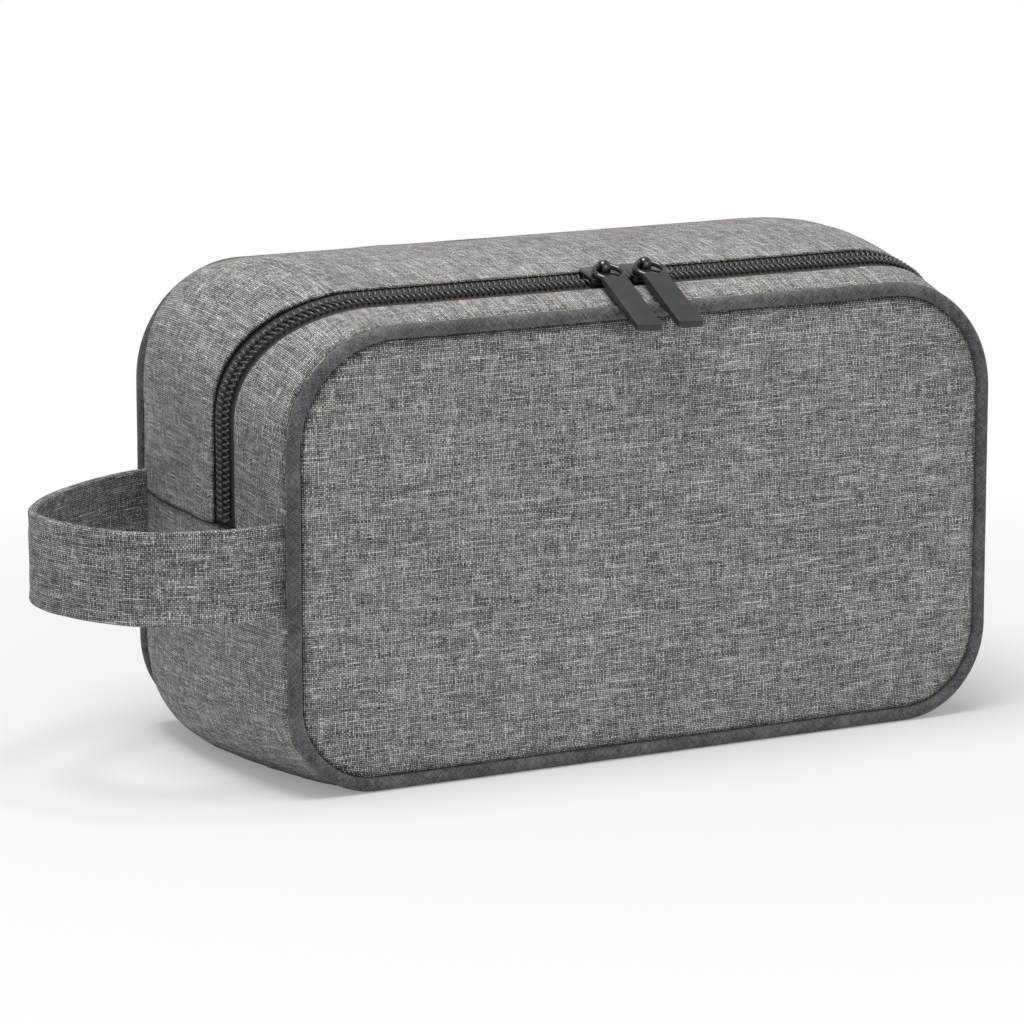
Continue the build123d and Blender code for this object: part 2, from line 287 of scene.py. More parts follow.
def heather_cloth(colours):
    """Plain weave of slubbed two-tone yarn"""
    cloth = Finish(
        "heather_cloth",
        {"Roughness": 0.93, "Specular IOR Level": 0.22, "Sheen Weight": 0.1, "Sheen Roughness": 0.55},
    )
    across, along = cloth.place("weave")[:2]
    yarn = 0.00062
    sway = cloth.grain(across * 60.0, along * 60.0, 1.0, 2.0) * 0.9
    u, v = across / yarn + sway, along / yarn + sway
    warp, weft = u.floor(), v.floor()
    over = (warp + weft).math("PINGPONG", 1.0)
    warp_tone = cloth.grain(warp * 7.31, v * 0.11, 0.0, 3.0, 0.7)
    weft_tone = cloth.grain(u * 0.07, weft * 7.31, 9.5, 3.0, 0.7)
    yarn_tone = warp_tone.toward(weft_tone, over)
    # Thick light slubs and thin dark runs lie over both yarns
    warp_slub = cloth.grain(warp * 3.77, v * 0.07, 5.0, 1.0).above(0.66, 0.05)
    weft_slub = cloth.grain(u * 0.045, weft * 3.77, 7.0, 1.0).above(0.63, 0.05)
    slub = warp_slub.math("MAXIMUM", weft_slub)
    fibre = cloth.grain(u * 1.3, v * 1.3, 4.0, 1.0)
    cloud = cloth.grain(across * 24.0, along * 24.0, 2.0, 2.0)
    warp_round = u.arch() * (v.arch() * 0.7 + 0.3)
    weft_round = v.arch() * (u.arch() * 0.7 + 0.3)
    relief_and_shade = warp_round.toward(weft_round, over)
    tone = (yarn_tone - 0.5) * 2.2 + (fibre - 0.5) * 0.8 + (cloud - 0.5) * 0.16
    # Painted shade and highlight: this term lightens each yarn's crown and darkens the dips between yarns;
    # it also raises them in the bump
    tone = tone + slub * 0.2 + relief_and_shade * 0.8 - 0.035
    stops = (
        (0.0, colours.dark_yarn),
        (0.36, colours.mid_yarn),
        (0.62, scaled(colours.mid_yarn, 1.9)),
        (1.0, colours.light_yarn),
    )
    # Painted shade: the seam layer darkens the cloth's colour down in its seams, under the strips' hems and
    # over the carry loop, most on the loop's inner face
    seam = cloth.node("ShaderNodeAttribute", {"attribute_name": "seam"}, {}, "Fac")
    cloth.colour(cloth.tones(tone - seam * 0.42, stops))
    cloth.raise_by(relief_and_shade * 0.7 + slub * 0.25 + yarn_tone * 0.3, 0.0003, 0.75)
    return cloth.material


def bias_cloth(colours):
    """Fine cloth cut on the bias and drawn tight over the piping cord"""
    cloth = Finish(
        "piping_cloth",
        {"Roughness": 0.8, "Specular IOR Level": 0.3, "Sheen Weight": 0.15, "Sheen Roughness": 0.45},
    )
    around, along = cloth.place("weave")[:2]
    yarn = 0.00058
    u, v = (around + along) / yarn, (along - around) / yarn
    warp, weft = u.floor(), v.floor()
    over = (warp + weft).math("PINGPONG", 1.0)
    tone = cloth.grain(warp * 5.7, v * 0.11, 1.0).toward(cloth.grain(u * 0.11, weft * 5.7, 6.0), over)
    cloud = cloth.grain(along * 90.0, around * 40.0, 3.0)
    # Painted shade and highlight: the arch terms lighten each thread's crown and darken the dips between
    # threads; the rest is the yarns' own tone
    shade = (tone - 0.5) * 1.5 + (cloud - 0.5) * 0.5 + (u.arch() * 0.5 + v.arch() * 0.5) * 0.4 + 0.26
    stops = (
        (0.25, scaled(colours.piping, 0.4)),
        (0.5, colours.piping),
        (0.78, scaled(colours.piping, 2.2)),
    )
    cloth.colour(cloth.tones(shade, stops))
    height = (u.arch() * 0.5 + v.arch() * 0.5).toward(tone, 0.4)
    cloth.raise_by(height, 0.00012, 0.7)
    return cloth.material


def ribbed_tape(colours):
    """Woven tape with ribs that run along it"""
    tape = Finish("zip_tape", {"Roughness": 0.85, "Specular IOR Level": 0.25, "Sheen Weight": 0.1})
    across, along = tape.place("weave")[:2]
    u, v = across / 0.00062, along / 0.00048
    rib = u.arch()
    speck = tape.grain(u.floor() * 3.3, v * 0.5, 2.0)
    stops = ((0.3, scaled(colours.tape, 0.5)), (0.6, colours.tape), (0.9, scaled(colours.tape, 1.7)))
    # Painted shade and highlight: the rib term lightens each rib's crown and darkens the grooves between
    # ribs; the speck is the yarn's own tone
    tape.colour(tape.tones(speck * 0.8 + rib * 0.25, stops))
    tape.raise_by(rib * 0.6 + (v + u.floor() * 0.5).arch() * 0.4, 0.00018, 0.8)
    return tape.material


def satin_filament(colours):
    """Drawn nylon filament of the zip's coil"""
    coil = Finish("zip_coil", {"Roughness": 0.3, "Specular IOR Level": 0.7, "IOR": 1.55})
    x, y, z = coil.place("object")
    scuff = coil.grain(x * 900.0, y * 900.0, z * 900.0, 2.0)
    stops = ((0.3, scaled(colours.coil, 0.6)), (0.7, scaled(colours.coil, 1.6)))
    coil.colour(coil.tones(scuff, stops))
    coil.roughness(scuff * 0.2 + 0.18)
    coil.raise_by(scuff, 0.00004, 0.5)
    return coil.material


def gloss_enamel(colours):
    """Glossy black enamel with faint rubs"""
    enamel = Finish(
        "slider_enamel", {"Metallic": 0.0, "Roughness": 0.16, "Coat Weight": 0.8, "Coat Roughness": 0.07}
    )
    x, y, z = enamel.place("object")
    rub = enamel.grain(x * 1500.0, y * 1500.0, z * 1500.0, 3.0)
    cloud = enamel.grain(x * 220.0, y * 220.0, z * 220.0, 2.0)
    stops = ((0.35, scaled(colours.slider, 0.8)), (0.7, scaled(colours.slider, 2.2)))
    enamel.colour(enamel.tones(cloud, stops))
    enamel.roughness(rub * 0.16 + 0.1)
    enamel.raise_by(rub, 0.00003, 0.4)
    return enamel.material


def matte_enamel(colours):
    """Matte charcoal enamel with a fine cast grain"""
    enamel = Finish("pull_enamel", {"Metallic": 0.0, "Roughness": 0.5, "Specular IOR Level": 0.5})
    x, y, z = enamel.place("object")
    grit = enamel.grain(x * 2600.0, y * 2600.0, z * 2600.0, 3.0)
    cloud = enamel.grain(x * 160.0, y * 160.0, z * 160.0, 3.0)
    stops = ((0.3, scaled(colours.pull, 0.75)), (0.7, scaled(colours.pull, 1.35)))
    enamel.colour(enamel.tones(cloud * 0.7 + grit * 0.3, stops))
    enamel.roughness(grit * 0.22 + 0.38)
    enamel.raise_by(grit, 0.00004, 0.6)
    return enamel.material


def inner_cloth(name, tone, yarn):
    """Plain woven cloth of an inner layer, laid by the object's own coordinates"""
    cloth = Finish(name, {"Roughness": 0.85, "Specular IOR Level": 0.25, "Sheen Weight": 0.1})
    x, y, z = cloth.place("object")
    u, v = (x + y * 0.5) / yarn, (z + y * 0.5) / yarn
    over = (u.floor() + v.floor()).math("PINGPONG", 1.0)
    speck = cloth.grain(u.floor() * 3.7, v * 0.2, y * 300.0).toward(
        cloth.grain(u * 0.2, v.floor() * 3.7, y * 300.0), over
    )
    cloth.colour(cloth.tones(speck, ((0.3, scaled(tone, 0.7)), (0.7, scaled(tone, 1.4)))))
    cloth.raise_by(u.arch().toward(v.arch(), over), 0.0001, 0.7)
    return cloth.material


def cell_foam(colours):
    """Closed-cell padding"""
    foam = Finish("padding_foam", {"Roughness": 0.95, "Specular IOR Level": 0.2})
    x, y, z = foam.place("object")
    cells = foam.grain(x * 1300.0, y * 1300.0, z * 1300.0, 2.0)
    cloud = foam.grain(x * 60.0, y * 60.0, z * 60.0, 2.0)
    stops = ((0.3, scaled(colours.padding, 0.8)), (0.7, colours.padding))
    foam.colour(foam.tones(cells * 0.7 + cloud * 0.3, stops))
    foam.raise_by(cells, 0.0002, 0.8)
    return foam.material


def twisted_filler(colours):
    """Cotton filler cord and webbing"""
    filler = Finish("filler_cord", {"Roughness": 0.95, "Specular IOR Level": 0.2})
    x, y, z = filler.place("object")
    strand = ((x + z + y * 0.6) / 0.0011).arch()
    lint = filler.grain(x * 1800.0, y * 1800.0, z * 1800.0, 2.0)
    stops = ((0.25, scaled(colours.padding, 0.55)), (0.8, colours.padding))
    # Painted shade and highlight: the strand term lightens each strand's crown and darkens the dips between
    # strands; the lint is the cotton's own tone
    filler.colour(filler.tones(strand * 0.5 + lint * 0.5, stops))
    filler.raise_by(strand * 0.7 + lint * 0.3, 0.0003, 0.8)
    return filler.material


# Pieces


def grid(columns, rows, place):
    """A grid whose points lie where place(column, row) says, with its weave coordinates"""
    made = bmesh.new()
    bmesh.ops.create_grid(made, x_segments=columns, y_segments=rows, size=0.5)
    weave = made.loops.layers.uv.new("weave")
    # The seam layer holds painted shade: how much the cloth's colour is darkened at each point
    seam = made.verts.layers.float.new("seam")
    spots = {}
    for vert in made.verts:
        column = round((vert.co.x + 0.5) * columns)
        row = round((vert.co.y + 0.5) * rows)
        vert.co, spots[vert], vert[seam] = place(column, row)
    for face in made.faces:
        for loop in face.loops:
            loop[weave].uv = spots[loop.vert]
    return made


def piece(name, made, finish, body, nodes=(), closed=False):
    """Turns a bmesh into a piece of the bag"""
    if closed:
        bmesh.ops.remove_doubles(made, verts=made.verts, dist=0.000001)
        bmesh.ops.recalc_face_normals(made, faces=made.faces)
    mesh = bpy.data.meshes.new(name)
    made.to_mesh(mesh)
    made.free()
    mesh.shade_smooth()
    mesh.materials.append(finish)
    made_object = bpy.data.objects.new(name, mesh)
    bpy.context.scene.collection.objects.link(made_object)
    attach(made_object, body)
    if nodes:
        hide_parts(*nodes)
    return made_object


def thicken(cloth, thickness):
    """Gives a cloth its thickness, inwards"""
    solid = cloth.modifiers.new("thickness", "SOLIDIFY")
    solid.thickness = thickness
    solid.offset = -1
    return cloth


def ripple(x, y, wave, seed=0.0):
    """Gentle unevenness between -1 and 1, the same on each run"""
    return noise.noise(Vector((x / wave, y / wave, seed)))


def clamp(value, low=0.0, high=1.0):
    return min(max(value, low), high)


def settings():
    """The sizes of the shell and of the zip"""
    return bpy.context.scene.bag_shape, bpy.context.scene.bag_zip


def finish_of(make):
    """The finish that make() gives, made once"""
    name = make.__name__
    if name not in finishes:
        finishes[name] = make(bpy.context.scene.bag_colours)
    return finishes[name]


finishes = {}


class Outline:
    """The outside of the padded gusset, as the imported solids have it"""

    def __init__(self):
        shape, zipper = settings()
        self.shape = shape
        self.zipper = zipper
        self.half = shape.length / 2
        self.seam = shape.depth / 2
        self.edge = self.seam - shape.piping - 0.0001
        self.flat = self.half - shape.top_radius
        self.base_flat = self.half - shape.bottom_radius
        self.bend = pi / 2 * (shape.top_radius + 0.005)
        self.base_bend = pi / 2 * (shape.bottom_radius + 0.005)

    def swell(self, y, rise, crown):
        share = clamp((y + self.edge) / (2 * self.edge))
        return self.shape.seam_lip + rise * share + crown * max(sin(pi * share), 0.0) ** 0.7

    def section(self, y):
        """Half length, top and corner swell at depth y"""
        shape = self.shape
        side = self.swell(y, 0.0, shape.end_crown)
        rise = shape.back_height - shape.front_height
        top = shape.piping + shape.front_height + self.swell(y, rise, shape.top_crown)
        return self.half + side, top, side

    def drop(self, y):
        """Height of the straight end between the top corner and the gusset's joint"""
        top, side = self.section(y)[1:]
        return top - self.shape.top_radius - side - self.shape.joint_height

    def plump(self, y, turn):
        """How far the stuffed rear corners bulge past the even swell"""
        share = clamp((y + self.edge) / (2 * self.edge))
        return self.shape.corner_bulge * max(sin(pi * share**4), 0.0) ** 0.6 * sin(2 * turn) ** 2

    def over(self, y, along, out=0.0):
        """A point over the top: along runs from the top's middle, out stands off the cloth"""
        top, side = self.section(y)[1:]
        radius = self.shape.top_radius + side
        past = abs(along) - self.flat
        turn = clamp(past / self.bend) * pi / 2
        out += self.plump(y, turn)
        way = 1 if along > 0 else -1
        x = way * (min(abs(along), self.flat) + (radius + out) * sin(turn))
        z = top - radius + (radius + out) * cos(turn) - max(past - self.bend, 0.0)
        return Vector((x, y, z))

    def under(self, y, along, out=0.0):
        """A point under the bag: along runs from the bottom's middle up to the joint"""
        radius = self.shape.bottom_radius + self.section(y)[2]
        past = abs(along) - self.base_flat
        turn = clamp(past / self.base_bend) * pi / 2
        out += self.plump(y, turn)
        way = 1 if along > 0 else -1
        x = way * (min(abs(along), self.base_flat) + (radius + out) * sin(turn))
        middle = self.shape.piping + self.shape.bottom_radius
        z = middle - (radius + out) * cos(turn) + max(past - self.base_bend, 0.0)
        return Vector((x, y, max(z, 0.0003 - min(out, 0.0))))

    def zip_y(self, along):
        """Depth of the zip's middle at a run over the top"""
        turn = clamp((abs(along) - self.flat) / self.bend) * pi / 2
        return self.zipper.top_y + (self.zipper.end_y - self.zipper.top_y) * sin(turn) ** 2


class ZipLine:
    """The zip's middle line, from its left foot over the top to its right foot"""

    def __init__(self, outline):
        self.outline = outline
        self.zipper = outline.zipper
        self.foot = outline.shape.joint_height + 0.00005
        end_top, end_side = outline.section(self.zipper.end_y)[1:]
        mid_side = outline.section(self.zipper.top_y)[2]
        radius = outline.shape.top_radius
        self.climb = end_top - radius - end_side - self.foot
        self.corner = pi / 2 * (radius + (end_side + mid_side) / 2 - self.zipper.sink)
        self.length = 2 * (self.climb + self.corner + outline.flat)

    def at(self, distance):
        """The middle, and the ways across to the back and out of the bag"""
        way = -1 if distance < self.length / 2 else 1
        run = min(distance, self.length - distance)
        turn = clamp((run - self.climb) / self.corner) * pi / 2
        over = max(run - self.climb - self.corner, 0.0)
        y = self.zipper.top_y + (self.zipper.end_y - self.zipper.top_y) * cos(turn) ** 2
        half, top, side = self.outline.section(y)
        radius = self.outline.shape.top_radius + side
        sunk = radius - self.zipper.sink
        middle = Vector(
            (
                way * (half - radius - over + sunk * cos(turn)),
                y,
                top - radius + sunk * sin(turn) - max(self.climb - run, 0.0),
            )
        )
        step = 0.0005
        ahead, behind = self.outline.section(y + step), self.outline.section(y - step)
        end_slope = (ahead[0] - behind[0]) / (2 * step)
        top_slope = (ahead[1] - behind[1]) / (2 * step)
        lean = atan(end_slope + (top_slope - end_slope) * sin(turn) ** 2)
        out = Vector((way * cos(turn), 0, sin(turn)))
        across = Vector((0, cos(lean), 0)) + out * sin(lean)
        return middle, across, across.cross(Vector((0, 1, 0)).cross(out)) * -1

    def point(self, distance, across, up):
        middle, back, out = self.at(distance)
        return middle + back * across + out * up


# How a gusset cloth turns down into its seam: share of the way, step towards the seam, depth
seam_tuck = [
    (0.0, 0.0012, -0.0024),
    (0.0, 0.0006, -0.0011),
    (0.0, 0.0001, -0.0004),
    (0.0, -0.0006, -0.00005),
]


def hem_turn(fold):
    """How a strip's hem turns under: share of the way, step past the hem, depth"""
    return [
        (1.0, -0.0007, 0.0),
        (1.0, -0.0002, -fold * 0.12),
        (1.0, 0.0, -fold * 0.42),
        (1.0, -0.0001, -fold * 0.75),
        (1.0, -0.0006, -fold),
        (1.0, -0.0040, -fold),
    ]


def pucker(along, inset, reach, wave, seed):
    """Small gathers beside a seam, gone by reach away from it"""
    return exp(-inset / reach) * ripple(along, 0.0, wave, seed)


class BAG_OT_panels(bpy.types.Operator):
    """Makes the padded front and back panels"""

    bl_idname = "toiletry_bag.panels"
    bl_label = "Front and back panels"

    def execute(self, context):
        shape = context.scene.bag_shape
        finish = finish_of(heather_cloth)
        cell = 0.0019
        rings = [0.0010, 0.0015, 0.0020, 0.0026, 0.0034, 0.0046]

        def steps(low, high):
            """Places across the panel, close together beside the seams"""
            inner_low, inner_high = low + rings[-1], high - rings[-1]
            count = round((inner_high - inner_low) / cell)
            inner = [inner_low + (inner_high - inner_low) * k / count for k in range(1, count)]
            return [low + d for d in rings] + inner + [high - d for d in reversed(rings)]

        def rise(inset, x, z, seed):
            """How far the cloth stands out of the seam's plane"""
            tuck = 0.0026
            if inset < tuck:
                return -0.0016 + 0.0020 * sin(pi / 2 * clamp((inset - 0.0010) / (tuck - 0.0010)))
            near = inset - tuck
            level = 0.0004 + (shape.panel_stand - 0.0004) * (1 - exp(-near / 0.0014))
            level += shape.panel_crown * (1 - exp(-near / 0.022))
            level += 0.00045 * ripple(x, z, 0.038, seed) * clamp(near / 0.012)
            level += 0.00016 * ripple(x, z, 0.012, seed + 3) * clamp(near / 0.006)
            return level + 0.00035 * pucker(x + z, near, 0.005, 0.0065, seed + 7) * clamp(near / 0.001)

        for name, side, height in (
            ("front_panel", -1, shape.front_height),
            ("back_panel", 1, shape.back_height),
        ):
            low, high = shape.piping, shape.piping + height
            half = shape.length / 2
            columns, rows = steps(-half, half), steps(low, high)

            def place(column, row):
                x, z = columns[column], rows[row]
                radius = shape.top_radius if z > (low + high) / 2 else shape.bottom_radius
                middle_x = (half - radius) * (1 if x > 0 else -1)
                middle_z = high - radius if z > (low + high) / 2 else low + radius
                inset = min(half - abs(x), z - low, high - z)
                past_x = (abs(x) - (half - radius)) / radius
                past_z = abs(z - middle_z) / radius
                beyond = z > middle_z if z > (low + high) / 2 else z < middle_z
                if past_x > 0 and beyond and past_z > 0:
                    reach = max(past_x, past_z)
                    if past_x >= past_z:
                        turn = pi / 4 * past_z / past_x
                    else:
                        turn = pi / 2 - pi / 4 * past_x / past_z
                    x = middle_x + (1 if x > 0 else -1) * radius * reach * cos(turn)
                    z = middle_z + (1 if z > middle_z else -1) * radius * reach * sin(turn)
                    inset = radius * (1 - reach)
                out = shape.depth / 2 + rise(inset, x, z, side * 5.0)
                # The third value is painted shade in the seam layer: the cloth's colour darkens fully
                # within 2.4 mm of the piping and fades over the next millimetre or so
                return Vector((x, side * out, z)), (x, z), exp(-max(inset - 0.0024, 0) / 0.0007)

            made = grid(len(columns) - 1, len(rows) - 1, place)
            if side > 0:
                bmesh.ops.reverse_faces(made, faces=made.faces)
            cloth = piece(name + "_cloth", made, finish, "bag", [name])
            thicken(cloth, 0.0009)
        return {"FINISHED"}


class BAG_OT_gusset(bpy.types.Operator):
    """Makes the lower gusset and the two strips beside the zip"""

    bl_idname = "toiletry_bag.gusset"
    bl_label = "Gusset and zip strips"

    def execute(self, context):
        shape, zipper = settings()
        finish = finish_of(heather_cloth)
        outline = Outline()

        def stations(reach, count):
            return [reach * (2 * k / count - 1) for k in range(count + 1)]

        def unevenness(along, y, seed):
            near = outline.edge - abs(y)
            level = 0.0005 * ripple(along, y, 0.034, seed) * clamp(near / 0.012)
            level += 0.00018 * ripple(along, y, 0.011, seed + 2) * clamp(near / 0.005)
            return level + 0.0004 * pucker(along, near, 0.005, 0.008, seed + 5) * clamp(near / 0.0015)

        # The lower gusset runs from one joint under the bag to the other
        straight = shape.joint_height - shape.piping - shape.bottom_radius
        reach = outline.base_flat + outline.base_bend + straight
        inner = 50
        middle = [(k / inner, 0.0, 0.0) for k in range(1, inner)]
        back = [(1.0, -step, depth) for share, step, depth in reversed(seam_tuck)]
        profile = seam_tuck + middle + back
        runs = [-reach - 0.0001] + stations(reach, 260) + [reach + 0.0001]

        def place_lower(column, row):
            share, step, depth = profile[column]
            along = runs[row]
            # step points towards the front seam
            y = -outline.edge + 2 * outline.edge * share - step
            end = reach - abs(along)
            fold = 0.0005 * exp(-max(end, 0) / 0.0025) - (0.0016 if end < 0 else 0.0)
            out = depth + fold + (unevenness(along, y, 2.0) if 0 < share < 1 else 0.0)
            # Painted shade in the seam layer: the cloth's colour darkens beside the front and back seams
            # and at the gusset's ends by the joints
            seam = exp(-max(outline.edge - abs(y), 0) / 0.0008) + exp(-max(end, 0) / 0.0005)
            return outline.under(y, along, out), (y, along), min(seam, 1.0)

        made = grid(len(profile) - 1, len(runs) - 1, place_lower)
        cloth = piece("lower_gusset_cloth", made, finish, "bag", ["lower_gusset"])
        thicken(cloth, 0.0009)

        # The zip strips run over the top between the same joints
        for name, side, hem in (
            ("top_front_strip", -1, zipper.front_hem),
            ("top_rear_strip", 1, zipper.rear_hem),
        ):
            inner = 12 if side < 0 else 40
            folds = hem_turn(zipper.hem_fold)
            columns = seam_tuck + [(k / inner, 0.0, 0.0) for k in range(1, inner)] + folds
            count = 300
            end_run = 0.035

            def place_strip(column, row):
                share, step, depth = columns[column]
                part = 2 * row / count - 1
                seam = side * outline.edge
                guess = part * (outline.flat + outline.bend + end_run)
                hem_y = outline.zip_y(guess) + side * hem * 0.985
                y = seam + (hem_y - seam) * share
                y += side * step if share == 0 else -side * step
                top_run = outline.flat + outline.bend
                along = guess
                if abs(guess) > top_run:
                    down = (abs(guess) - top_run) / end_run * (outline.drop(y) - 0.0003)
                    along = (top_run + down) * (1 if guess > 0 else -1)
                out = depth
                if 0 < share < 1:
                    out += unevenness(along, y, side * 3.0) * clamp((1 - share) * 6)
                sink = 0.0006 if side < 0 else 0.0001
                out -= sink * exp(-abs(y - hem_y) / 0.004) * (1 + depth / zipper.hem_fold)
                across = y + side * abs(depth) * (1 if share == 0 else -1)
                # Painted shade in the seam layer: the cloth's colour darkens beside the piping's seam and
                # on the hem's underside as it turns under
                seam = exp(-max(outline.edge - abs(y), 0) / 0.0008)
                if share == 1.0:
                    seam = clamp(-depth / 0.0010)
                return outline.over(y, along, out), (across, along), seam

            made = grid(len(columns) - 1, count, place_strip)
            if side < 0:
                bmesh.ops.reverse_faces(made, faces=made.faces)
            cloth = piece(name + "_cloth", made, finish, "bag", [name])
            thicken(cloth, 0.0003)
        return {"FINISHED"}


class BAG_OT_piping(bpy.types.Operator):
    """Makes the piping round the front and back panels"""

    bl_idname = "toiletry_bag.piping"
    bl_label = "Piping"

    def execute(self, context):
        shape = context.scene.bag_shape
        finish = finish_of(bias_cloth)
        sides = 18
        step = 0.0014

        def route(height):
            """Points round a seam with the way that faces out, from the bottom's middle"""
            low, high = shape.piping, shape.piping + height
            half, top, bottom = shape.length / 2, shape.top_radius, shape.bottom_radius
            corners = (
                (half - bottom, low + bottom, bottom, -90),
                (half - top, high - top, top, 0),
                (-half + top, high - top, top, 90),
                (-half + bottom, low + bottom, bottom, 180),
            )
            points = [(Vector((0, 0, low)), Vector((0, 0, -1)))]
            for x, z, radius, start in corners:
                turns = round(radius * pi / 2 / step)
                arc = []
                for k in range(turns + 1):
                    turn = radians(start + 90 * k / turns)
                    out = Vector((cos(turn), 0, sin(turn)))
                    arc.append((Vector((x, 0, z)) + out * radius, out))
                straight(points, arc[0])
                points += arc
            straight(points, points[0])
            return points

        def straight(points, target):
            """Even steps along a straight run, up to but not including its end"""
            start = points[-1]
            count = round((target[0] - start[0]).length / step)
            points += [(start[0].lerp(target[0], k / count), target[1]) for k in range(1, count)]

        for name, side, height in (
            ("front_piping", -1, shape.front_height),
            ("back_piping", 1, shape.back_height),
        ):
            points = route(height)
            lengths = [0.0]
            for here, there in zip(points, points[1:] + points[:1]):
                lengths.append(lengths[-1] + (there[0] - here[0]).length)

            def place(column, row):
                middle, out = points[row % len(points)]
                turn = 2 * pi * column / sides
                along = lengths[row]
                ring = noise.noise(Vector((cos(turn), sin(turn), 0)) * 0.6 + middle * 95)
                radius = shape.piping * (0.98 + 0.02 * ring)
                seat = middle + Vector((0, side * shape.depth / 2, 0))
                spot = seat + Vector((0, cos(turn) * radius, 0)) + out * sin(turn) * radius
                # Painted shade in the seam layer on the piping's side that turns in towards the gusset; the
                # piping's finish doesn't read it
                groove_shade = clamp(abs(cos(turn)) * 1.6 - 0.75) if side * cos(turn) < 0 else 0.0
                return spot, (turn * shape.piping, along), groove_shade

            made = grid(sides, len(points), place)
            piece(name + "_cloth", made, finish, "bag", [name + "_cover"], closed=True)
        return {"FINISHED"}


class BAG_OT_zip(bpy.types.Operator):
    """Makes the zip's tapes and its two rows of coil"""

    bl_idname = "toiletry_bag.zip"
    bl_label = "Zip tapes and coils"

    def execute(self, context):
        zipper = context.scene.bag_zip
        line = ZipLine(Outline())
        rows = 360
        for name, side, width in (("front", -1, zipper.front_tape), ("rear", 1, zipper.rear_tape)):
            columns = 8

            def place_tape(column, row):
                share = column / columns
                across = side * (zipper.tape_inner + (width - zipper.tape_inner) * share)
                distance = line.length * row / rows
                return line.point(distance, across, 0.0), (across, distance), 0.0

            made = grid(columns, rows, place_tape)
            if side > 0:
                bmesh.ops.reverse_faces(made, faces=made.faces)
            tape = piece(
                "zip_tape_" + name,
                made,
                finish_of(ribbed_tape),
                "bag",
                ["zipper_tape_" + name],
            )
            thicken(tape, zipper.tape)

            turns = int((line.length - 2 * zipper.pitch) / zipper.pitch)
            samples = 14
            sides = 6
            wire = zipper.coil_wire
            reach = (zipper.coil_outer - zipper.coil_inner) / 2 - wire
            middle = (zipper.coil_outer + zipper.coil_inner) / 2
            height = zipper.coil_height / 2 - wire
            start = zipper.pitch * (1.0 + (0.5 if side > 0 else 0.0))

            def filament(count):
                """The filament's middle after so many samples: a flattened helix"""
                turn = 2 * pi * count / samples
                across = middle - reach * cos(turn)
                up = 0.00005 + zipper.coil_height / 2 + height * sin(turn)
                return line.point(start + zipper.pitch * count / samples, side * across, up)

            def place_coil(column, row):
                here = filament(row)
                way = (filament(row + 0.5) - filament(row - 0.5)).normalized()
                across, out = line.at(start + zipper.pitch * row / samples)[1:]
                first = way.cross(across.cross(out)).normalized()
                second = way.cross(first)
                turn = 2 * pi * column / sides
                spot = here + (first * cos(turn) + second * sin(turn)) * wire
                return spot, (turn, row / samples), 0.0

            made = grid(sides, turns * samples, place_coil)
            bmesh.ops.remove_doubles(made, verts=made.verts, dist=0.000001)
            bmesh.ops.holes_fill(made, edges=[e for e in made.edges if e.is_boundary], sides=sides)
            piece(
                "zip_coil_" + name,
                made,
                finish_of(satin_filament),
                "bag",
                ["zipper_coil_" + name],
                closed=True,
            )
        return {"FINISHED"}


# Stands a section up before it is spun into a ring
quarter_turn = Matrix.Rotation(pi / 2, 3, "Y")


def bevel(made, edges, offset, segments, profile, clamp_overlap=False):
    """Rounds some edges of a bmesh"""
    bmesh.ops.bevel(
        made,
        geom=edges,
        offset=offset,
        segments=segments,
        profile=profile,
        affect="EDGES",
        material=-1,
        clamp_overlap=clamp_overlap,
    )


